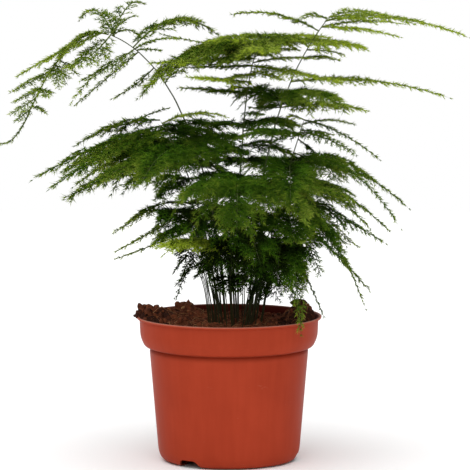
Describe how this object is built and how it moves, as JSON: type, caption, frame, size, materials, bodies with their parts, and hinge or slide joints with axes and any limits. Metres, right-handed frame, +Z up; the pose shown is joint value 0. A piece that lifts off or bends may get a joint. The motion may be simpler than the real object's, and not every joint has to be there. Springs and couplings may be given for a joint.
{
  "type": "lace fern in a nursery pot",
  "caption": "Potted lace fern with wiry stems and flat, layered sprays of fine needles, in a round tapered nursery pot filled with peat.",
  "frame": {"origin": "on the pot's axis, in the plane that the pot stands on", "axes": "+Z up; +X to the right of the view that the longest upper spray points to; -Y towards that view's front"},
  "size_m": [0.3013, 0.2443, 0.299],
  "materials": {
    "pot_plastic": "satin moulded terracotta-red",
    "peat": "loose, damp, fibrous",
    "foliage": "fine green needles on wiry stems"
  },
  "bodies": {
    "root": {"pot": "pot_plastic", "peat": "peat", "stem_left_tall": "foliage", "stem_right_tall": "foliage", "stem_middle_tall": "foliage", "stem_right_arch": "foliage", "stem_left_arch": "foliage", "stem_back_left": "foliage", "stem_back_right": "foliage", "stem_left_low": "foliage", "stem_front": "foliage", "stem_right_low": "foliage", "stem_hanging": "foliage", "stem_left_wisp": "foliage", "stem_right_wisp": "foliage", "stem_back_low": "foliage"}
  },
  "joints": []
}
